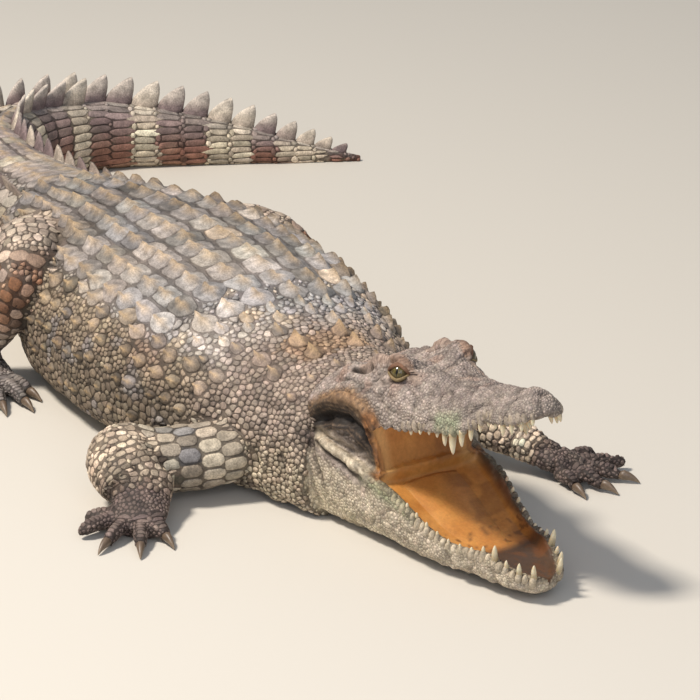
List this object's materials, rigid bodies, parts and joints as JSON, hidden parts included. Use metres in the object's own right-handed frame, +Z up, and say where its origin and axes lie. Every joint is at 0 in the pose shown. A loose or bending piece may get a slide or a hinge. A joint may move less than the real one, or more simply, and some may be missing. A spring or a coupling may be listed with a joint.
{
  "type": "crocodile",
  "caption": "Life-size basking crocodile lying on its belly with jaws agape, sprawled clawed feet and a crested tail curled to one side.",
  "frame": {"origin": "on the floor under the middle of the belly", "axes": "+X forward along the trunk towards the head, +Y to the animal's left, +Z up"},
  "size_m": [2.1362, 1.3017, 0.3116],
  "materials": {
    "hide": "dry, scaly, horny hide, matte to faintly satin",
    "mouth_lining": "moist smooth skin of the mouth, satin",
    "eye": "wet, glossy, olive-gold with a slit pupil",
    "claw": "dull worn horn"
  },
  "bodies": {
    "root": {"head": "hide", "left_eye": "eye", "left_foot": "hide", "left_foot_claw_1": "claw", "left_foot_claw_2": "claw", "left_foot_claw_3": "claw", "left_forearm": "hide", "left_hand": "hide", "left_hand_claw_1": "claw", "left_hand_claw_2": "claw", "left_hand_claw_3": "claw", "left_shank": "hide", "left_thigh": "hide", "left_upper_arm": "hide", "lower_jaw": "hide", "neck": "hide", "right_eye": "eye", "right_foot": "hide", "right_foot_claw_1": "claw", "right_foot_claw_2": "claw", "right_foot_claw_3": "claw", "right_forearm": "hide", "right_hand": "hide", "right_hand_claw_1": "claw", "right_hand_claw_2": "claw", "right_hand_claw_3": "claw", "right_shank": "hide", "right_thigh": "hide", "right_upper_arm": "hide", "tail_1_base": "hide", "tail_2": "hide", "tail_3": "hide", "tail_4_tip": "hide", "tongue": "mouth_lining", "trunk": "hide"}
  },
  "joints": []
}
